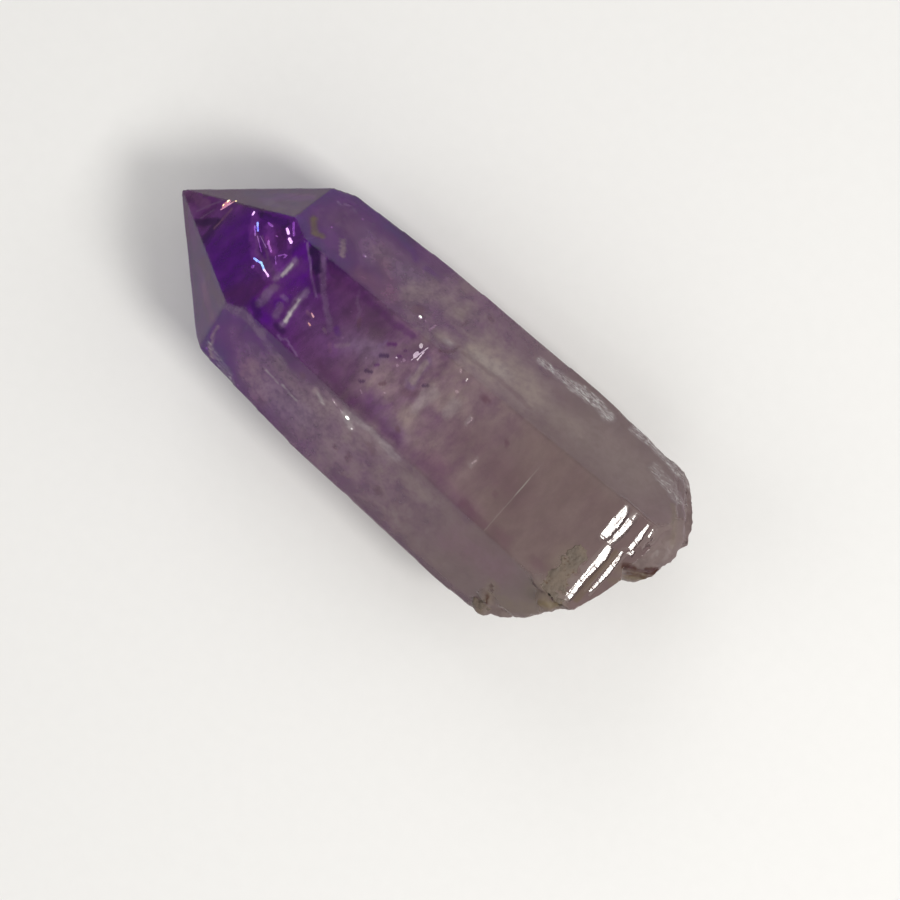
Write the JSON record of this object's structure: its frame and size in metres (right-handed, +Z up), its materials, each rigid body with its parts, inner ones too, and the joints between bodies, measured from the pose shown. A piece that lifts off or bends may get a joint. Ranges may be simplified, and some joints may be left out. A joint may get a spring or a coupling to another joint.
{
  "type": "amethyst crystal",
  "caption": "Loose amethyst point: a quartz crystal with a faceted violet tip, flat prism sides fading to smoky mauve and a rough broken base with a crust of matrix; it lies on a prism side.",
  "frame": {"origin": "bottom centre of the box, on the flat prism side that it rests on", "axes": "+X along the crystal from the tip to the broken base, +Y across it, +Z up out of the surface"},
  "size_m": [0.0454, 0.0186, 0.0163],
  "materials": {
    "amethyst": "glossy natural crystal faces, violet tip fading to smoky mauve",
    "matrix_crust": "rough grey-green and rusty bedding left on the base",
    "inclusion": "bright healed fractures and fine veils inside the crystal"
  },
  "bodies": {
    "root": {"amethyst_crystal": "amethyst"}
  },
  "joints": []
}
